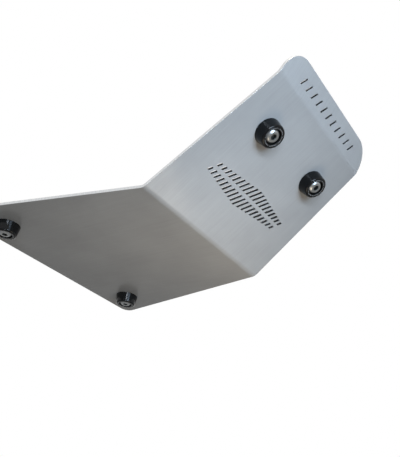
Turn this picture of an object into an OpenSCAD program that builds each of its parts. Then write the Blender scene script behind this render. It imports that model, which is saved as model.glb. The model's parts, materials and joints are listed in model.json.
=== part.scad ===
// Skid plate: one laser-cut aluminium sheet with two folds, held by four bolts through slider pucks.
// Millimetres. +X is the right side, +Y the front and +Z up. The rear pucks' faces lie at z = 0.

/* [Sheet] */
// Thickness of the sheet
sheet_t = 3; // [2:0.5:4]
// Inside radius of both folds
fold_r = 9; // [4:1:14]
// Half width of the sheet where it is folded between the bottom and the front
fold_half_w = 100; // [94:1:120]

/* [Bottom panel] */
// Length from the fold's outer corner line to the rear edge
bottom_len = 227; // [210:1:260]
// Half width at the rear edge
rear_half_w = 145; // [125:1:165]
// Radius of the two rear corners
rear_corner_r = 10; // [4:1:16]

/* [Front panel] */
// Angle at which the front panel rises from the bottom panel
front_angle = 38.3; // [30:0.1:46]
// Length from the fold's outer corner line to the lip's, along the panel
front_len = 157.4; // [145:0.2:175]
// Half width at the lip's fold
lip_half_w = 87.5; // [78:0.5:93]

/* [Lip] */
// Further angle at which the lip rises from the front panel
lip_angle = 23; // [14:1:32]
// Length from the lip's outer corner line to its top edge
lip_len = 29.5; // [27:0.5:40]
// Half width that the sides would have at the top edge
top_half_w = 85; // [72:0.5:87]
// Radius of the two top corners
top_corner_r = 25; // [10:1:26]

/* [Front cut-outs] */
// Number of leaning slits on each side of the middle one
slit_steps = 9; // [4:1:9]
// Distance between neighbouring slits
slit_pitch = 6.6; // [6:0.1:7]
// Width of a slit, measured across the panel
slit_w = 3.2; // [1.5:0.1:3.6]
// Height of the middle slit
slit_tall = 29; // [22:1:32]
// Height of the outermost slits
slit_short = 13; // [10:0.5:18]
// Height of the bridge of metal that divides each slit
slit_bridge = 4; // [2:0.5:6]
// Distance of the bridges from the fold's corner line
slit_s = 57.5; // [50:0.5:65]
// Angle at which the slits lean, here and on the lip
slit_lean = 30; // [10:1:40]

/* [Lip cut-outs] */
// Number of slits in the lip's row
lip_slit_count = 11; // [5:2:13]
// Distance between neighbouring slits
lip_slit_pitch = 11; // [8:0.5:11.5]
// Width of a slit, measured across the lip
lip_slit_w = 2; // [1.5:0.1:3]
// Height of a slit
lip_slit_h = 9; // [6:0.5:11]
// Distance of the row's middle from the lip's corner line
lip_slit_s = 13.5; // [12:0.5:16]

/* [Bolt places] */
// Distance of the front bolts from the middle line
front_bolt_x = 46.3; // [36:0.1:60]
// Distance of the front bolts from the fold's corner line, along the front panel
front_bolt_s = 114.9; // [100:0.1:126]
// Distance of the rear bolts from the middle line
rear_bolt_x = 99.4; // [80:0.1:110]
// Distance of the rear bolts behind the fold's corner line
rear_bolt_s = 188.8; // [160:0.1:192]
// Diameter of the bolt holes in the sheet
sheet_hole_d = 9; // [8.6:0.1:10]

/* [Pucks] */
// Diameter against the sheet
puck_base_d = 27.6; // [27:0.1:34]
// Diameter at the face, before its edge is rounded
puck_face_d = 24; // [23.8:0.1:26]
// Height from the sheet to the face
puck_h = 12; // [11:0.5:16]
// Radius of the face's rounded edge
puck_edge_r = 1.8; // [0.3:0.1:1.8]

/* [Cup washers] */
// Diameter of the cup
cup_d = 20.2; // [19:0.1:20.4]
// Thickness of the cup's floor
cup_floor_t = 1.5; // [1:0.1:2.5]
// Diameter of the counterbore that takes the bolt head
counterbore_d = 16.4; // [15.6:0.1:17]
// Depth of the counterbore
counterbore_depth = 6.8; // [6.2:0.1:7.5]
// Diameter of the sleeve that reaches down to the sheet
sleeve_d = 12.4; // [11:0.1:14]
// Radial clearance between the cup washer and the puck
cup_gap = 0.15; // [0.05:0.05:0.3]

/* [Bolts] */
// Diameter over the crests of the rolled thread
thread_d = 7.87; // [7.75:0.01:7.97]
// Diameter of the plain shank, which is the blank that the thread is rolled on
shank_d = 7.2; // [7:0.1:7.3]
// Length under the head
bolt_len = 25; // [22:1:35]
// Distance from the damper to where the thread starts
thread_gap = 0.2; // [0.1:0.1:1]
// Chamfer at the thread's end
bolt_chamfer = 1; // [0.5:0.1:1.5]
// Diameter of the low round head
head_d = 14.4; // [13:0.1:14.6]
// Height of the head
head_h = 5; // [4.6:0.1:5]
// Height of the straight rim under the dome
head_rim_h = 3.2; // [2.6:0.1:3.6]
// Diameter of the flat on top of the dome
head_flat_d = 10; // [9:0.2:12]
// Width of the hexagon socket across its flats
socket_w = 5; // [4:0.5:5]
// Depth of the socket
socket_depth = 2.8; // [1.5:0.1:3]

/* [Washers] */
// Diameter of the flat washer under each bolt head
washer_d = 15; // [12.5:0.1:15.4]
// Thickness of the flat washer
washer_t = 1.6; // [1:0.1:2]

/* [Dampers] */
// Diameter of the rubber ring behind the sheet
damper_d = 24; // [18:0.5:30]
// Thickness of the rubber ring
damper_t = 3; // [2:0.5:6]
// Radius of the ring's two outer edges
damper_edge_r = 0.6; // [0.2:0.1:0.9]

/* [Fit] */
// Radial clearance of the thread in the washers, the sleeve and the damper
bolt_gap = 0.25; // [0.1:0.05:0.3]

/* [Hidden] */
$fn = 96;
SEATS = ["front_right", "front_left", "rear_right", "rear_left"];
PIECES = ["puck", "cup_washer", "bolt", "washer", "damper"];

spare = 1;                                   // how far a cut runs past the metal that it removes
arc_lap = 0.01;                              // how far a rounding arc crosses the edges that it joins
far = bottom_len + front_len;                // further than any edge of the sheet
fold_outer_r = fold_r + sheet_t;
fold_setback = fold_outer_r * tan(front_angle / 2);  // from the corner line to where the fold starts
lip_setback = fold_outer_r * tan(lip_angle / 2);
lip_rise = front_angle + lip_angle;          // the lip's angle above the bottom panel
lip_line = front_len * along(front_angle);   // the lip's corner line, seen from the side
front_reach = lip_line.x + lip_len * cos(lip_rise);
origin = [0, (front_reach - bottom_len) / 2, -puck_h];  // below the middle of the whole length

floor_h = puck_h - counterbore_depth;        // heights above the sheet's outer face
ledge_h = floor_h - cup_floor_t;
head_seat_h = floor_h + washer_t;
bolt_hole_r = thread_d / 2 + bolt_gap;
shank_len = head_seat_h + sheet_t + damper_t + thread_gap;

// Unit vectors along a panel that rises at angle a, and square to it into the fold's inner side
function along(a) = [cos(a), sin(a)];
function inward(a) = [-sin(a), cos(a)];
function unit(v) = v / norm(v);

// Corner between panels rising at a and b, moved inwards from the outer faces
function bend_corner(at, a, b, inset) = at + inset * inward((a + b) / 2) / cos((b - a) / 2);

// What a rounding of radius r takes off the corner p, whose edges leave it along the unit vectors u and v
module corner_cut(p, u, v, r) {
  turn = acos(u * v);
  centre = p + (u + v) * (r - arc_lap) / sin(turn);
  foot = (r - arc_lap) / tan(turn / 2);
  wedge = [centre, p + u * foot, p, p + v * foot];
  difference() {
    polygon([for (q = wedge) centre + (q - centre) * 1.5]);
    translate(centre) circle(r);
  }
}

// All that lies past a side edge running from half width w0 at s0 to w1 at s1 and then straight on
module edge_cut(w0, s0, w1, s1) {
  lead = (w0 - w1) / (s1 - s0) * spare;
  polygon([[w0 + lead, s0 - spare], [w1, s1], [w1, s1 + far], [far, s1 + far], [far, s0 - spare]]);
}

module both_sides() {
  for (side = [0, 1]) mirror([side, 0, 0]) children();
}

// Panel coordinates: x across, y away from the panel's corner line, z into the fold's inner side
module on_front() {
  rotate([front_angle, 0, 0]) children();
}

module on_lip() {
  on_front() translate([0, front_len, 0]) rotate([lip_angle, 0, 0]) children();
}

module through_sheet() {
  translate([0, 0, -spare]) linear_extrude(sheet_t + 2 * spare) children();
}

// Side view of all that lies above the panels' outer faces, moved inwards and with rounded folds
module side_region(inset, r, extra) {
  fold = bend_corner([0, 0], 0, front_angle, inset);
  lip = bend_corner(lip_line, front_angle, lip_rise, inset);
  top = lip_line + (lip_len + extra) * along(lip_rise);
  back_h = 2 * sheet_t + extra;
  difference() {
    polygon([
      [-bottom_len - extra, inset], fold, lip, top + inset * inward(lip_rise),
      top + back_h * inward(lip_rise), [-bottom_len - extra, back_h]
    ]);
    corner_cut(fold, -along(0), along(front_angle), r);
    corner_cut(lip, -along(front_angle), along(lip_rise), r);
  }
}

module folded_blank() {
  rotate([90, 0, 90]) linear_extrude(2 * rear_half_w + 2 * spare, center = true) difference() {
    side_region(0, fold_outer_r, 0);
    side_region(sheet_t, fold_r, spare);
  }
}

// The outline, cut square to each panel: each panel's edges run on straight through its fold
module outline_cuts() {
  rear_corner = [rear_half_w, -bottom_len];
  top_corner = [top_half_w, lip_len];
  both_sides() {
    translate([0, 0, -spare]) linear_extrude(far)
      edge_cut(rear_half_w, -bottom_len, fold_half_w, -fold_setback);
    on_front() translate([0, 0, -far]) linear_extrude(2 * far)
      edge_cut(fold_half_w, fold_setback, lip_half_w, front_len - lip_setback);
    on_lip() through_sheet()
      edge_cut(lip_half_w, lip_setback, top_half_w, lip_len);
    through_sheet()
      corner_cut(rear_corner, [-1, 0], unit([fold_half_w, -fold_setback] - rear_corner), rear_corner_r);
    on_lip() through_sheet()
      corner_cut(top_corner, [-1, 0], unit([lip_half_w, lip_setback] - top_corner), top_corner_r);
  }
}

// A slit at x that leans about the line y = 0 and runs from one y to another
module leaning_slit(x, width, y0, y1) {
  polygon([
    for (q = [[-1, y0], [1, y0], [1, y1], [-1, y1]]) [x + q.x * width / 2 - q.y * tan(slit_lean), q.y]
  ]);
}

// Divided slits, tallest in the middle and shorter step by step towards both ends
module front_slits() {
  translate([0, slit_s]) for (i = [-slit_steps:slit_steps]) {
    half_h = (slit_tall - (slit_tall - slit_short) * abs(i) / slit_steps) / 2;
    for (end = [-1, 1])
      leaning_slit(i * slit_pitch, slit_w, end * slit_bridge / 2, end * half_h);
  }
}

module lip_slits() {
  translate([0, lip_slit_s]) for (i = [0:lip_slit_count - 1])
    leaning_slit((i - (lip_slit_count - 1) / 2) * lip_slit_pitch, lip_slit_w, -lip_slit_h / 2, lip_slit_h / 2);
}

module bolt_holes() {
  both_sides() {
    on_front() through_sheet() translate([front_bolt_x, front_bolt_s]) circle(d = sheet_hole_d);
    through_sheet() translate([rear_bolt_x, -rear_bolt_s]) circle(d = sheet_hole_d);
  }
}

module skid_plate() {
  color([0.66, 0.69, 0.71]) difference() {
    folded_blank();
    outline_cuts();
    on_front() through_sheet() front_slits();
    on_lip() through_sheet() lip_slits();
    bolt_holes();
  }
}

// The pieces of a bolt's stack are drawn on the sheet's outer face, with +Z pointing out of it.

// Black slider: a blunt cone with a recess for the cup washer and a hole for its sleeve
module puck() {
  base_r = puck_base_d / 2;
  face_r = puck_face_d / 2;
  slope = unit([base_r - face_r, -puck_h]);
  recess_r = cup_d / 2 + cup_gap;
  hole_r = sleeve_d / 2 + cup_gap;
  color([0.07, 0.07, 0.08]) rotate_extrude() difference() {
    polygon([
      [hole_r, 0], [base_r, 0], [face_r, puck_h], [recess_r, puck_h], [recess_r, ledge_h], [hole_r, ledge_h]
    ]);
    corner_cut([face_r, puck_h], [-1, 0], slope, puck_edge_r);
  }
}

// Dark metal cup whose floor takes the bolt head, with a sleeve that passes the clamping force to the sheet
module cup_washer() {
  cup_r = cup_d / 2;
  counterbore_r = counterbore_d / 2;
  sleeve_r = sleeve_d / 2;
  color([0.16, 0.16, 0.17]) rotate_extrude() polygon([
    [bolt_hole_r, 0], [sleeve_r, 0], [sleeve_r, ledge_h], [cup_r, ledge_h], [cup_r, puck_h],
    [counterbore_r, puck_h], [counterbore_r, floor_h], [bolt_hole_r, floor_h]
  ]);
}

// Bolt with a low round head and a hexagon socket; the dome on its rim is a slice of a sphere
module bolt() {
  shank_r = shank_d / 2;
  thread_r = thread_d / 2;
  rim = [head_d / 2, head_rim_h];
  flat = [head_flat_d / 2, head_h];
  dome_h = (rim * rim - flat * flat) / (2 * (head_rim_h - head_h));
  dome_r = norm(rim - [0, dome_h]);
  color([0.78, 0.78, 0.76]) translate([0, 0, head_seat_h]) difference() {
    union() {
      rotate_extrude() intersection() {
        square([head_d / 2, head_h]);
        translate([0, dome_h]) circle(dome_r);
      }
      rotate_extrude() polygon([
        [0, head_rim_h / 2], [shank_r, head_rim_h / 2], [shank_r, -shank_len], [thread_r, -shank_len],
        [thread_r, bolt_chamfer - bolt_len], [thread_r - bolt_chamfer, -bolt_len], [0, -bolt_len]
      ]);
    }
    translate([0, 0, head_h - socket_depth]) cylinder(d = socket_w / cos(30), h = socket_depth + spare, $fn = 6);
  }
}

module washer() {
  color([0.72, 0.72, 0.70]) translate([0, 0, floor_h]) linear_extrude(washer_t) difference() {
    circle(d = washer_d);
    circle(bolt_hole_r);
  }
}

// Rubber ring on the sheet's inner face, between the sheet and what it is bolted to
module damper() {
  damper_r = damper_d / 2;
  color([0.10, 0.10, 0.10]) translate([0, 0, -sheet_t - damper_t]) rotate_extrude() difference() {
    polygon([[bolt_hole_r, 0], [damper_r, 0], [damper_r, damper_t], [bolt_hole_r, damper_t]]);
    corner_cut([damper_r, 0], [-1, 0], [0, 1], damper_edge_r);
    corner_cut([damper_r, damper_t], [-1, 0], [0, -1], damper_edge_r);
  }
}

// Puts a stack on the outer face of the front or the bottom panel, on the right or the left
module at_seat(seat) {
  front = seat == "front_right" || seat == "front_left";
  side = seat == "front_right" || seat == "rear_right" ? 1 : -1;
  rotate([front ? front_angle : 0, 0, 0])
    translate(front ? [side * front_bolt_x, front_bolt_s, 0] : [side * rear_bolt_x, -rear_bolt_s, 0])
      rotate([180, 0, 0]) children();
}

translate(-origin) {
  skid_plate();
  for (seat = SEATS) at_seat(seat) {
    puck();
    cup_washer();
    bolt();
    washer();
    damper();
  }
}
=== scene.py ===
# Motorcycle skid plate: a folded, satin finished aluminium sheet that slides on four black pucks.
# Lengths in the dictionaries are millimetres and angles are degrees; meshes are in metres.
import json
import math

import bmesh
import bpy
import numpy as np
from mathutils import Matrix, Vector


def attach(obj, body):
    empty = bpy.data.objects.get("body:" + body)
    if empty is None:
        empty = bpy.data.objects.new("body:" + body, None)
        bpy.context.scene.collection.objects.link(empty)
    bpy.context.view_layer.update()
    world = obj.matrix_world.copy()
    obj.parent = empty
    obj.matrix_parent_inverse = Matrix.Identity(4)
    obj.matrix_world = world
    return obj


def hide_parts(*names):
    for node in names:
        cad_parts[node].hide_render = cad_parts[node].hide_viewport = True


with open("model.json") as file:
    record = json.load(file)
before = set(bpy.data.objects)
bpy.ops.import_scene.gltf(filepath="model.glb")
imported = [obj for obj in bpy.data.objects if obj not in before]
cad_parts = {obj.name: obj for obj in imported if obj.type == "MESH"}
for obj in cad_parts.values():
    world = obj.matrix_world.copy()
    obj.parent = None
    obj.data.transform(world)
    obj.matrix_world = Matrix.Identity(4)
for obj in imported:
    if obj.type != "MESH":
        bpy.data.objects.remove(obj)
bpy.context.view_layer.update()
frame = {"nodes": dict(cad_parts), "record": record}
mm = 0.001
scene = bpy.context.scene
print("Frame loaded with", len(frame["nodes"]), "nodes")


# Camera: from below the right front corner, rolled a little to the right
cameraView = {
    "target": (-2.22, 34.51, 25.09),
    "azimuth": 37.87,  # from +X towards +Y
    "elevation": -28.37,
    "roll": 8.19,
    "distance": 617.8,
    "focalPixels": 597.9,
    "imageHeight": 457,
    "sensor": 36,
}


def aimCamera(view):
    azimuth, elevation, roll = (math.radians(view[key]) for key in ("azimuth", "elevation", "roll"))
    back = Vector((math.cos(elevation) * math.cos(azimuth), math.cos(elevation) * math.sin(azimuth),
                   math.sin(elevation)))
    right = Vector((0, 0, 1)).cross(back).normalized()
    up = back.cross(right)
    tiltedRight = right * math.cos(roll) + up * math.sin(roll)
    tiltedUp = up * math.cos(roll) - right * math.sin(roll)
    place = (Vector(view["target"]) + back * view["distance"]) * mm
    camera = bpy.data.objects.new("camera", bpy.data.cameras.new("camera"))
    camera.data.sensor_width = view["sensor"]
    camera.data.lens = view["focalPixels"] * view["sensor"] / view["imageHeight"]
    camera.data.clip_start = 0.01
    turn = Matrix((tiltedRight, tiltedUp, back)).transposed()
    camera.matrix_world = Matrix.Translation(place) @ turn.to_4x4()
    scene.collection.objects.link(camera)
    scene.camera = camera


aimCamera(cameraView)
print("Camera placed")


# Materials
def toLinear(hexColour):
    # An sRGB hex colour such as #C0C4C6 as linear red, green, blue and alpha
    parts = np.array([int(hexColour[i:i + 2], 16) for i in (1, 3, 5)]) / 255
    linear = np.where(parts <= 0.04045, parts / 12.92, ((parts + 0.055) / 1.055) ** 2.4)
    return (*linear.tolist(), 1.0)


def addNode(tree, kind, inputs=(), **settings):
    # An input is a value, or the output of another node, which is then linked
    made = tree.nodes.new("ShaderNode" + kind)
    for name, value in settings.items():
        setattr(made, name, value)
    for name, value in dict(inputs).items():
        if isinstance(value, bpy.types.NodeSocket):
            tree.links.new(value, made.inputs[name])
        else:
            made.inputs[name].default_value = value
    return made


def startMaterial(name, metallic, **shaderValues):
    material = bpy.data.materials.new(name)
    material.use_nodes = True
    shader = material.node_tree.nodes["Principled BSDF"]
    shader.inputs["Metallic"].default_value = metallic
    for key, value in shaderValues.items():
        shader.inputs[key].default_value = value
    return material, material.node_tree, shader


def stretchedNoise(tree, coordinates, scales, detail):
    # Noise whose cells measure 1 / scale along each axis, in the coordinates' own unit
    mapped = addNode(tree, "Mapping", {"Vector": coordinates, "Scale": scales})
    return addNode(tree, "TexNoise", {"Vector": mapped.outputs["Vector"], "Scale": 1.0, "Detail": detail})


def linkSurface(tree, shader, look, factor, roughness, bump=None):
    # The colour runs from look's low to its high as the factor goes from 0 to 1
    blend = addNode(tree, "Mix", {"Factor": factor}, data_type="RGBA")
    blend.inputs["A"].default_value = toLinear(look["low"])
    blend.inputs["B"].default_value = toLinear(look["high"])
    tree.links.new(blend.outputs[2], shader.inputs["Base Color"])
    tree.links.new(roughness, shader.inputs["Roughness"])
    if bump:
        tree.links.new(bump.outputs["Normal"], shader.inputs["Normal"])


def satinSheet():
    # Aluminium alloy sheet, sanded fine and clear sealed: broad soft reflections, a faint grain along the
    # rolling direction, cloudy patches where the finish is a little duller, and blurred mirror images at
    # shallow angles. Sanding marks are about 0.1 mm wide; the grain is drawn wider, so that it shows.
    look = {"low": "#9A9B9B", "high": "#A9AAAA", "cloud": 60, "grainWidth": 0.8, "grainLength": 40}
    material, tree, shader = startMaterial("satin sanded aluminium sheet", 0.2)  # sanding scatters light
    shader.inputs["Specular IOR Level"].default_value = 0.1
    shader.inputs["Coat Weight"].default_value = 0.45
    shader.inputs["Coat Roughness"].default_value = 0.17
    place = addNode(tree, "TexCoord").outputs["Object"]
    cloudScale = 1 / (look["cloud"] * mm)
    across, along = 1 / (look["grainWidth"] * mm), 1 / (look["grainLength"] * mm)
    cloud = stretchedNoise(tree, place, (cloudScale,) * 3, 4.0).outputs["Fac"]
    grain = stretchedNoise(tree, place, (across, along, along), 2.0).outputs["Fac"]
    mixed = addNode(tree, "Mix", {"Factor": 0.35, "A": cloud, "B": grain}, data_type="FLOAT").outputs[0]
    spread = addNode(tree, "MapRange", {"Value": mixed, "From Min": 0.3, "From Max": 0.7}).outputs["Result"]
    roughness = addNode(tree, "MapRange", {"Value": mixed, "From Min": 0.3, "From Max": 0.7,
                                           "To Min": 0.66, "To Max": 0.58}).outputs["Result"]
    bump = addNode(tree, "Bump", {"Strength": 0.15, "Distance": 0.02 * mm, "Height": grain})
    linkSurface(tree, shader, look, spread, roughness, bump)
    return material


def laserCutEdge():
    # Laser cut and deburred edge: bright metal with fine striations across the thickness
    look = {"low": "#B8BABB", "high": "#E4E6E7", "striation": 0.5, "length": 6}
    material, tree, shader = startMaterial("laser cut aluminium edge", 1.0)
    place = addNode(tree, "TexCoord").outputs["Object"]
    fine, coarse = 1 / (look["striation"] * mm), 1 / (look["length"] * mm)
    lines = stretchedNoise(tree, place, (fine, fine, coarse), 1.0).outputs["Fac"]
    roughness = addNode(tree, "MapRange", {"Value": lines, "To Min": 0.45, "To Max": 0.3}).outputs["Result"]
    bump = addNode(tree, "Bump", {"Strength": 0.3, "Distance": 0.03 * mm, "Height": lines})
    linkSurface(tree, shader, look, lines, roughness, bump)
    return material


def slitWallPaintedShade():
    # Laser cut wall in a narrow slit: its dark colour is painted shade; rough dross that hardly shines
    look = {"low": "#121314", "high": "#2A2C2E", "striation": 0.4, "length": 5}
    material, tree, shader = startMaterial("laser cut slit wall with painted shade", 0.4)
    place = addNode(tree, "TexCoord").outputs["Object"]
    fine, coarse = 1 / (look["striation"] * mm), 1 / (look["length"] * mm)
    lines = stretchedNoise(tree, place, (fine, fine, coarse), 2.0).outputs["Fac"]
    roughness = addNode(tree, "MapRange", {"Value": lines, "To Min": 0.9, "To Max": 0.7}).outputs["Result"]
    bump = addNode(tree, "Bump", {"Strength": 0.4, "Distance": 0.05 * mm, "Height": lines})
    linkSurface(tree, shader, look, lines, roughness, bump)
    return material


def turnedAcetal():
    # Black acetal, turned on a lathe and polished: deep black with sharp highlights and barely visible
    # tool rings. A lathe leaves rings about 0.1 mm apart; on the turned pieces they are drawn coarser, so
    # that they show.
    look = {"low": "#050607", "high": "#0C0E10", "ringPitch": 0.35}
    material, tree, shader = startMaterial("polished turned black acetal", 0.0, IOR=1.48)
    shader.inputs["Specular IOR Level"].default_value = 0.22  # low, or the white surround greys the black
    profile = addNode(tree, "UVMap", uv_map="profile").outputs["UV"]
    rings = stretchedNoise(tree, profile, (2.0, 1 / look["ringPitch"], 0.0), 1.0).outputs["Fac"]
    roughness = addNode(tree, "MapRange", {"Value": rings, "To Min": 0.07, "To Max": 0.12}).outputs["Result"]
    bump = addNode(tree, "Bump", {"Strength": 0.05, "Distance": 0.01 * mm, "Height": rings})
    linkSurface(tree, shader, look, rings, roughness, bump)
    return material


def blackAnodised():
    # Turned aluminium, black anodised: a satin black skin that turns greyish where it catches light
    look = {"low": "#0A0B0C", "high": "#151617", "ringPitch": 0.3}
    material, tree, shader = startMaterial("black anodised turned aluminium", 0.15)
    profile = addNode(tree, "UVMap", uv_map="profile").outputs["UV"]
    rings = stretchedNoise(tree, profile, (3.0, 1 / look["ringPitch"], 0.0), 2.0).outputs["Fac"]
    roughness = addNode(tree, "MapRange", {"Value": rings, "To Min": 0.3, "To Max": 0.45}).outputs["Result"]
    bump = addNode(tree, "Bump", {"Strength": 0.2, "Distance": 0.01 * mm, "Height": rings})
    linkSurface(tree, shader, look, rings, roughness, bump)
    return material


def laserEtched():
    # Anodising burnt away by a marking laser: pale matt aluminium shows through
    look = {"low": "#7C7F82", "high": "#B4B7BA", "speck": 0.3}
    material, tree, shader = startMaterial("laser etched anodised aluminium", 0.6)
    place = addNode(tree, "TexCoord").outputs["Object"]
    specks = stretchedNoise(tree, place, (1 / (look["speck"] * mm),) * 3, 1.0).outputs["Fac"]
    roughness = addNode(tree, "MapRange", {"Value": specks, "To Min": 0.5, "To Max": 0.7}).outputs["Result"]
    linkSurface(tree, shader, look, specks, roughness)
    return material


def stainlessSteel():
    # Cold headed stainless steel, passivated: a greyish silver with a satin skin and small handling marks
    look = {"low": "#7F8284", "high": "#B3B6B5", "ringPitch": 0.4, "mark": 1.5}
    material, tree, shader = startMaterial("passivated stainless steel", 1.0)
    profile = addNode(tree, "UVMap", uv_map="profile").outputs["UV"]
    place = addNode(tree, "TexCoord").outputs["Object"]
    rings = stretchedNoise(tree, profile, (1.0, 1 / look["ringPitch"], 0.0), 2.0).outputs["Fac"]
    marks = stretchedNoise(tree, place, (1 / (look["mark"] * mm),) * 3, 3.0).outputs["Fac"]
    mixed = addNode(tree, "Mix", {"Factor": 0.5, "A": rings, "B": marks}, data_type="FLOAT").outputs[0]
    roughness = addNode(tree, "MapRange", {"Value": mixed, "To Min": 0.2, "To Max": 0.4}).outputs["Result"]
    bump = addNode(tree, "Bump", {"Strength": 0.2, "Distance": 0.02 * mm, "Height": mixed})
    linkSurface(tree, shader, look, mixed, roughness, bump)
    return material


def broachedSteel():
    # Inside of a hexagon socket, broached and never polished: dull steel whose darkness is painted shade
    look = {"low": "#26292A", "high": "#5A5D5C", "mark": 0.8}
    material, tree, shader = startMaterial("broached steel with painted socket shade", 1.0)
    place = addNode(tree, "TexCoord").outputs["Object"]
    marks = stretchedNoise(tree, place, (1 / (look["mark"] * mm),) * 3, 2.0).outputs["Fac"]
    roughness = addNode(tree, "MapRange", {"Value": marks, "To Min": 0.35, "To Max": 0.6}).outputs["Result"]
    linkSurface(tree, shader, look, marks, roughness)
    return material


def mouldedRubber():
    # Moulded black rubber: dull, with the fine bloom and grain of the mould
    look = {"low": "#101011", "high": "#232324", "grain": 0.4}
    material, tree, shader = startMaterial("moulded black rubber", 0.0, IOR=1.52)
    place = addNode(tree, "TexCoord").outputs["Object"]
    grain = stretchedNoise(tree, place, (1 / (look["grain"] * mm),) * 3, 3.0).outputs["Fac"]
    roughness = addNode(tree, "MapRange", {"Value": grain, "To Min": 0.6, "To Max": 0.85}).outputs["Result"]
    bump = addNode(tree, "Bump", {"Strength": 0.4, "Distance": 0.04 * mm, "Height": grain})
    linkSurface(tree, shader, look, grain, roughness, bump)
    return material


sheetMaterials = [satinSheet(), laserCutEdge(), slitWallPaintedShade()]
acetal, anodised, etched = turnedAcetal(), blackAnodised(), laserEtched()
stainless, broached, rubber = stainlessSteel(), broachedSteel(), mouldedRubber()
print("Materials made")


# The sheet: the frame's own folded sheet with its arrises broken
sheetPiece = {
    "arris": 0.3,
    "frontAngle": 38.3,
    "lipAngle": 61.3,
    "foldLine": (44.66, 12.0),  # y and z of the fold's outer corner line
    "frontLength": 157.4,
    "slitsEnd": (75, -100),  # slit walls lie nearer to the middle than this in x and further forward in y
    "topBand": 6.0,  # the top edge is the wall that lies within this distance of the front end
    "wallFacing": 0.6,  # a face is a wall where its normal's share along the panel's normal is below this
    "mergeDistance": 0.001,
    "flatAngle": 0.5,  # faces that differ by less than this become one
    "arrisAngle": 40,  # edges sharper than this are broken
}


def dressSheet(values):
    mesh = frame["nodes"]["skid_plate"].data.copy()
    work = bmesh.new()
    work.from_mesh(mesh)
    bmesh.ops.remove_doubles(work, verts=work.verts, dist=values["mergeDistance"] * mm)
    flatAngle = math.radians(values["flatAngle"])
    bmesh.ops.dissolve_limit(work, angle_limit=flatAngle, verts=work.verts, edges=work.edges)
    work.to_mesh(mesh)
    work.free()
    if mesh.has_custom_normals:
        mesh.attributes.remove(mesh.attributes["custom_normal"])
    mesh.materials.clear()
    for material in sheetMaterials:
        mesh.materials.append(material)
    count = len(mesh.polygons)
    centre, normal = np.empty(count * 3), np.empty(count * 3)
    mesh.polygons.foreach_get("center", centre)
    mesh.polygons.foreach_get("normal", normal)
    centre, normal = centre.reshape(-1, 3) / mm, normal.reshape(-1, 3)
    angles = np.radians([values["frontAngle"], values["lipAngle"]])
    fold = np.array(values["foldLine"])
    lipLine = fold + values["frontLength"] * np.array([np.cos(angles[0]), np.sin(angles[0])])
    tilt = np.where(centre[:, 1] < fold[0], 0, np.where(centre[:, 1] < lipLine[0], angles[0], angles[1]))
    facing = -normal[:, 1] * np.sin(tilt) + normal[:, 2] * np.cos(tilt)  # along the panel's own normal
    wall = np.abs(facing) < values["wallFacing"]
    inner = (np.abs(centre[:, 0]) < values["slitsEnd"][0]) & (centre[:, 1] > values["slitsEnd"][1])
    inner &= centre[:, 1] < centre[:, 1].max() - values["topBand"]
    # Slit walls get material 2, whose dark colour is painted shade; other cut faces get the bright edge
    slot = np.where(wall, np.where(inner, 2, 1), 0)
    mesh.polygons.foreach_set("material_index", slot.astype(np.int32))
    mesh.polygons.foreach_set("use_smooth", np.ones(count, bool))
    print("Sheet has", count, "faces,", int(wall.sum()), "of them walls")
    piece = bpy.data.objects.new("folded_sheet", mesh)
    scene.collection.objects.link(piece)
    bevel = piece.modifiers.new("brokenArris", "BEVEL")
    bevel.width = values["arris"] * mm
    bevel.segments = 2
    bevel.limit_method = "ANGLE"
    bevel.angle_limit = math.radians(values["arrisAngle"])
    piece.modifiers.new("flatPanels", "WEIGHTED_NORMAL").keep_sharp = True
    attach(piece, "root")
    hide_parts("skid_plate")


dressSheet(sheetPiece)
print("Sheet dressed")


# Turned pieces: profiles of radius and height above the sheet's outer face, carried round the bolt's axis
def roundedProfile(corners):
    # Every corner (radius, height, rounding) becomes an arc that touches both its edges. Its centre lies on
    # the bisector at rounding / sin(half the corner's angle), and its ends lie at rounding / tan(half the
    # angle) along the edges.
    steps = 4  # in each arc
    corners = np.array(corners, float)
    points, rounding = corners[:, :2], corners[:, 2:]
    before, after = np.roll(points, 1, axis=0) - points, np.roll(points, -1, axis=0) - points
    before /= np.linalg.norm(before, axis=1, keepdims=True)
    after /= np.linalg.norm(after, axis=1, keepdims=True)
    half = np.arccos((before * after).sum(1, keepdims=True)) / 2
    bisector = before + after
    bisector /= np.linalg.norm(bisector, axis=1, keepdims=True)
    centre = points + bisector * rounding / np.sin(half)
    first = points + before * rounding / np.tan(half) - centre
    last = points + after * rounding / np.tan(half) - centre
    start = np.arctan2(first[:, 1], first[:, 0])
    sweep = (np.arctan2(last[:, 1], last[:, 0]) - start + np.pi) % (2 * np.pi) - np.pi
    angle = start[:, None] + sweep[:, None] * np.linspace(0, 1, steps + 1)
    arcs = centre[:, None] + rounding[:, None] * np.stack([np.cos(angle), np.sin(angle)], -1)
    return arcs.reshape(-1, 2)


def seatMatrix(seat):
    # Origin on the sheet's outer face at the bolt's axis, z pointing outwards, x to the object's right
    studMiddle = 11.7  # from the outer face to the middle of the free thread
    mount = next(m for m in frame["record"]["mounts"] if m["name"] == seat + "_stud")
    inwards = Vector(mount["axis"]).normalized()
    right = Vector((1, 0, 0))
    turn = Matrix((right, (-inwards).cross(right), -inwards)).transposed()
    return Matrix.Translation(Vector(mount["pos_m"]) - inwards * studMiddle * mm) @ turn.to_4x4()


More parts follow.
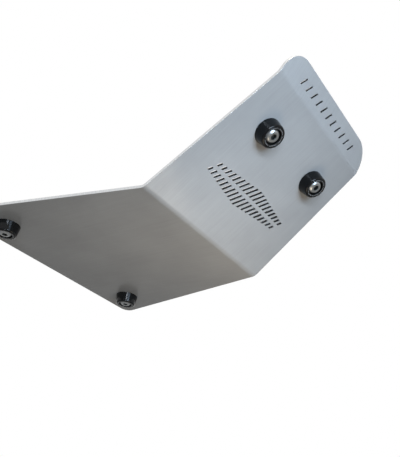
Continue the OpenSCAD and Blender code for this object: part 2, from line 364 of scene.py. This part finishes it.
def revolvedMesh(name, radius, height, closed):
    # The point in a row and column lies at the radius and height given there, in the direction of angle
    # 2 pi column / columns. A closed profile joins its last row to its first, and an open one gets a middle
    # point at each end. The UV map holds the angle in turns and the distance along the profile in mm.
    sharpAngle = 38  # degrees
    rows, columns = radius.shape
    angle = np.arange(columns) * 2 * np.pi / columns
    points = np.stack([radius * np.cos(angle), radius * np.sin(angle), height], -1).reshape(-1, 3)
    row = np.arange(rows if closed else rows - 1)[:, None]
    column = np.arange(columns)[None, :]
    here, above = row * columns, ((row + 1) % rows) * columns
    onward = (column + 1) % columns
    faces = np.stack(np.broadcast_arrays(here + column, here + onward, above + onward, above + column), -1)
    step = np.hypot(np.diff(radius[:, 0], append=radius[0, 0]), np.diff(height[:, 0], append=height[0, 0]))
    along = np.concatenate([[0], np.cumsum(step)])
    lower, upper = along[row] + 0 * column, along[row + 1] + 0 * column
    u = np.stack(np.broadcast_arrays(column, column + 1, column + 1, column + 0 * row), -1) / columns
    v = np.stack([lower, lower, upper, upper], -1)
    faceList, uv = faces.reshape(-1, 4).tolist(), np.stack([u, v], -1).reshape(-1, 2)
    if not closed:
        ends = np.array([[0, 0, height[0].mean()], [0, 0, height[-1].mean()]])
        firstMiddle, lastMiddle, lastRow = rows * columns, rows * columns + 1, (rows - 1) * columns
        points = np.concatenate([points, ends])
        column, onward = column[0], onward[0]
        firstFan = np.stack([onward, column, np.full(columns, firstMiddle)], -1)
        lastFan = np.stack([lastRow + column, lastRow + onward, np.full(columns, lastMiddle)], -1)
        fans = np.concatenate([firstFan, lastFan])
        faceList += fans.tolist()
        uv = np.concatenate([uv, np.zeros((fans.size, 2))])
    mesh = bpy.data.meshes.new(name)
    mesh.from_pydata((points * mm).tolist(), [], faceList)
    mesh.uv_layers.new(name="profile").data.foreach_set("uv", uv.astype(np.float32).reshape(-1))
    mesh.polygons.foreach_set("use_smooth", np.ones(len(faceList), bool))
    mesh.set_sharp_from_angle(angle=math.radians(sharpAngle))
    return mesh


def placePiece(mesh, name, seat, materials, replaced=None):
    mesh.transform(seatMatrix(seat))
    for material in materials:
        mesh.materials.append(material)
    piece = bpy.data.objects.new(name, mesh)
    scene.collection.objects.link(piece)
    piece.modifiers.new("evenFaces", "WEIGHTED_NORMAL").keep_sharp = True
    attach(piece, "root")
    if replaced:
        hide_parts(replaced)


def turnPiece(values, seat, material):
    profile = roundedProfile(values["corners"])
    ones = np.ones(values["segments"])
    mesh = revolvedMesh(values["name"], profile[:, :1] * ones, profile[:, 1:] * ones, True)
    placePiece(mesh, f"{seat}_{values['name']}", seat, [material], f"{seat}_{values['node']}")


puckPiece = {
    "name": "turned_puck", "node": "puck", "segments": 128,
    "corners": [(6.35, 0, 0.2), (13.8, 0, 0.3), (12, 12, 1.8), (10.25, 12, 0.15), (10.25, 3.7, 0.2),
                (6.35, 3.7, 0.2)],
}
cupPiece = {
    "name": "turned_cup", "node": "cup_washer", "segments": 128,
    "corners": [(4.19, 0, 0.1), (6.2, 0, 0.1), (6.2, 3.7, 0.3), (10.1, 3.7, 0.3), (10.1, 12, 0.4),
                (8.2, 12, 0.3), (8.2, 5.2, 0.4), (4.19, 5.2, 0.15)],
}
washerPiece = {
    "name": "punched_washer", "node": "washer", "segments": 96,
    "corners": [(4.19, 5.2, 0.2), (7.5, 5.2, 0.2), (7.5, 6.8, 0.3), (4.19, 6.8, 0.2)],
}
damperPiece = {
    "name": "moulded_damper", "node": "damper", "segments": 96,
    "corners": [(4.19, -6, 0.2), (12, -6, 0.6), (12, -3, 0.6), (4.19, -3, 0.2)],
}
boltPiece = {
    "name": "button_head_bolt", "segments": 72,
    "seatHeight": 6.8, "length": 25, "headRadius": 7.2, "headHeight": 5, "rimHeight": 3.2, "flatRadius": 5,
    "underRounding": 0.3, "socketWidth": 5, "socketDepth": 2.8, "mouthChamfer": 0.5,
    "drillRadius": 2, "drillTip": 0.2, "drillDepth": 0.5,
    "shankRadius": 3.6, "crestRadius": 3.93, "rootRadius": 3.25, "pitch": 1.25, "threadTop": -6.2,
    "rootShare": 0.12, "flankShare": 0.7,  # of half a pitch; the rest is the crest's flat
    "endChamfer": 1, "rowsPerTurn": 10, "domeSteps": 10,
}


def headBolt(values):
    # Rows run from the bolt's end up the thread, over the head and down into the socket. The thread's
    # radius is a flattened triangle wave of height / pitch - angle / 2 pi. The socket's is half its width /
    # cos of the angle to the nearest flat's middle. The dome is an arc through the rim and the flat's edge.
    angle = np.arange(values["segments"]) * 2 * np.pi / values["segments"]
    bottom, top = values["seatHeight"] - values["length"], values["threadTop"]
    count = int((top - bottom) / values["pitch"] * values["rowsPerTurn"])
    threadHeight = np.linspace(bottom, top, count)[:, None] + 0 * angle
    wave = np.abs(2 * ((threadHeight / values["pitch"] - angle / (2 * np.pi)) % 1) - 1)
    crest, root, shank = values["crestRadius"], values["rootRadius"], values["shankRadius"]
    rise = np.clip((wave - values["rootShare"]) / values["flankShare"], 0, 1)
    threadRadius = root + (crest - root) * rise
    runOut = np.clip((top - threadHeight) / values["pitch"], 0, 1)
    threadRadius = shank + (threadRadius - shank) * runOut
    threadRadius = np.minimum(threadRadius, crest - values["endChamfer"] + threadHeight - bottom)
    seat, rounding, headRadius = values["seatHeight"], values["underRounding"], values["headRadius"]
    rim, flat = seat + values["rimHeight"], values["flatRadius"]
    headTop = seat + values["headHeight"]
    middle = (headRadius ** 2 - flat ** 2 + rim ** 2 - headTop ** 2) / (2 * (rim - headTop))
    domeRadius = np.hypot(headRadius, rim - middle)
    domeHeights = np.linspace(rim, headTop, values["domeSteps"])
    inset = rounding * 0.3  # how far the middle of a rounding stays off its corner, either way
    turns = [(shank, seat - rounding), (shank + inset, seat - inset), (shank + rounding, seat),
             (headRadius - rounding, seat), (headRadius - inset, seat + inset)]
    turns += [(np.sqrt(domeRadius ** 2 - (h - middle) ** 2), h) for h in domeHeights]
    plain = np.array(turns)[:, :, None] + 0 * angle
    hexagon = values["socketWidth"] / 2 / np.cos((angle + np.pi / 6) % (np.pi / 3) - np.pi / 6)
    chamfer, floor = values["mouthChamfer"], headTop - values["socketDepth"]
    socketRows = [(hexagon + chamfer, headTop), (hexagon, headTop - chamfer), (hexagon, floor),
                  (values["drillRadius"], floor), (values["drillTip"], floor - values["drillDepth"])]
    socket = np.array([(0 * angle + r, 0 * angle + h) for r, h in socketRows])
    radius = np.concatenate([threadRadius, plain[:, 0], socket[:, 0]])
    height = np.concatenate([threadHeight, plain[:, 1], socket[:, 1]])
    mesh = revolvedMesh(values["name"], radius, height, False)
    # Socket faces get the second material, whose dark colour is painted shade deep in the socket
    slot = np.zeros(len(mesh.polygons), np.int32)
    slot[(len(threadHeight) + len(turns)) * values["segments"]:-2 * values["segments"]] = 1
    slot[-values["segments"]:] = 1  # the drilled middle of the socket
    mesh.polygons.foreach_set("material_index", slot)
    return mesh


tickPiece = {"name": "etched_ticks", "count": 36, "group": 6, "inner": 8.8, "outer": 9.3, "width": 1.0,
             "top": 12.02, "bottom": 11.95}


def etchedTicks(values):
    # One flat bar per tick, lying along its radius: half its width to either side of the radius, from inner
    # to outer. Every group of ticks ends in a gap, where its last tick is left out.
    marks = np.arange(values["count"])
    marks = marks[marks % values["group"] != values["group"] - 1]
    angle = marks * 2 * np.pi / values["count"]
    outwards = np.stack([np.cos(angle), np.sin(angle), 0 * angle], -1)[:, None]
    sideways = np.stack([-np.sin(angle), np.cos(angle), 0 * angle], -1)[:, None]
    reach = np.array([values["inner"], values["outer"]])[[0, 1, 1, 0]][:, None]
    side = values["width"] / 2 * np.array([-1, -1, 1, 1])[:, None]
    flat = outwards * reach + sideways * side
    up = np.array([0, 0, 1])
    points = np.concatenate([flat + up * values["bottom"], flat + up * values["top"]], 1).reshape(-1, 3)
    box = np.array([[3, 2, 1, 0], [4, 5, 6, 7], [0, 1, 5, 4], [1, 2, 6, 5], [2, 3, 7, 6], [3, 0, 4, 7]])
    faces = (box[None] + 8 * np.arange(len(marks))[:, None, None]).reshape(-1, 4)
    mesh = bpy.data.meshes.new(values["name"])
    mesh.from_pydata((points * mm).tolist(), [], faces.tolist())
    return mesh


for seat in ("front_right", "front_left", "rear_right", "rear_left"):
    turnPiece(puckPiece, seat, acetal)
    turnPiece(cupPiece, seat, anodised)
    turnPiece(washerPiece, seat, stainless)
    turnPiece(damperPiece, seat, rubber)
    placePiece(headBolt(boltPiece), f"{seat}_{boltPiece['name']}", seat, [stainless, broached],
               f"{seat}_bolt")
    placePiece(etchedTicks(tickPiece), f"{seat}_{tickPiece['name']}", seat, [etched])
print("Pucks, cups, bolts, washers and dampers made at four seats")


# Studio: a pale floor below the camera, a white surround and soft lamps
studio = {
    "floorHeight": -1200, "floorRadius": 40000, "floorSides": 64, "floorColour": "#C6C3BE",
    "fadeStart": 2500, "fadeEnd": 9000,  # distances from the origin over which the floor turns white
    "floorLift": 0.42,  # share of white in the floor where the fade starts
    "surround": "#FFFFFF", "ambient": "#F2F2F2", "ambientStrength": 0.01,
}
lamps = {
    "low softbox": {"place": (-60, 130, -200), "aim": (0, 40, 20), "size": (150, 150), "spread": 140,
                    "power": 0.17, "colour": "#FFECD2"},
    "front softbox": {"place": (300, 700, -100), "aim": (0, 60, 40), "size": (300, 300), "spread": 70,
                      "power": 0.86, "colour": "#CDE4FC"},
    "side softbox": {"place": (842, 758, -110), "aim": (0, 20, 20), "size": (330, 90), "spread": 60,
                     "power": 0.9, "colour": "#E4EFFC"},
    "overhead softbox": {"place": (400, 520, 1150), "aim": (0, 60, 0), "size": (500, 500), "spread": 180,
                         "power": 12, "colour": "#FFF2E0"},
}


def directlySeen(tree):
    # 1 for rays from the camera and for those that gloss or glass sends on, otherwise 0
    path = addNode(tree, "LightPath").outputs
    seen = addNode(tree, "Math", {0: path["Is Camera Ray"], 1: path["Is Glossy Ray"]}, operation="MAXIMUM")
    last = addNode(tree, "Math", {0: seen.outputs[0], 1: path["Is Transmission Ray"]}, operation="MAXIMUM")
    return last.outputs[0]


def layFloor(values):
    # A flat disc that fades into the white surround far from the object
    sides = values["floorSides"]
    angle = np.arange(sides) * 2 * np.pi / sides
    rim = np.stack([np.cos(angle), np.sin(angle), 0 * angle], -1) * values["floorRadius"]
    mesh = bpy.data.meshes.new("floor")
    mesh.from_pydata(((rim + (0, 0, values["floorHeight"])) * mm).tolist(), [], [list(range(sides))])
    material, tree, shader = startMaterial("pale painted floor", 0.0, Roughness=0.9)
    shader.inputs["Base Color"].default_value = toLinear(values["floorColour"])
    place = addNode(tree, "TexCoord").outputs["Object"]
    distance = addNode(tree, "VectorMath", {0: place}, operation="LENGTH").outputs["Value"]
    fade = addNode(tree, "MapRange", {"Value": distance, "From Min": values["fadeStart"] * mm,
                                      "From Max": values["fadeEnd"] * mm, "To Min": values["floorLift"]},
                   interpolation_type="SMOOTHSTEP")
    share = addNode(tree, "Math", {0: fade.outputs["Result"], 1: directlySeen(tree)}, operation="MULTIPLY")
    white = addNode(tree, "Emission", {"Color": toLinear(values["surround"]), "Strength": 1.0})
    mixed = addNode(tree, "MixShader", {"Fac": share.outputs[0], 1: shader.outputs[0], 2: white.outputs[0]})
    tree.links.new(mixed.outputs[0], tree.nodes["Material Output"].inputs["Surface"])
    mesh.materials.append(material)
    floor = bpy.data.objects.new("floor", mesh)
    scene.collection.objects.link(floor)


def paintWorld(values):
    world = bpy.data.worlds.new("studio")
    world.use_nodes = True
    scene.world = world
    tree = world.node_tree
    ambient = addNode(tree, "Background", {"Color": toLinear(values["ambient"]),
                                           "Strength": values["ambientStrength"]})
    white = addNode(tree, "Background", {"Color": toLinear(values["surround"]), "Strength": 1.0})
    mixed = addNode(tree, "MixShader", {"Fac": directlySeen(tree), 1: ambient.outputs[0],
                                        2: white.outputs[0]})
    tree.links.new(mixed.outputs[0], tree.nodes["World Output"].inputs["Surface"])


def hangLamp(name, values):
    light = bpy.data.lights.new(name, "AREA")
    light.shape = "RECTANGLE"
    light.size, light.size_y = (side * mm for side in values["size"])
    light.energy = values["power"]
    light.color = toLinear(values["colour"])[:3]
    light.spread = math.radians(values["spread"])
    lamp = bpy.data.objects.new(name, light)
    lamp.location = Vector(values["place"]) * mm
    aim = (Vector(values["aim"]) - Vector(values["place"])).normalized()
    lamp.rotation_euler = aim.to_track_quat("-Z", "Y").to_euler()
    lamp.visible_camera = False
    scene.collection.objects.link(lamp)


layFloor(studio)
paintWorld(studio)
for name, values in lamps.items():
    hangLamp(name, values)
scene.view_settings.view_transform = "Standard"
print("Studio lit")
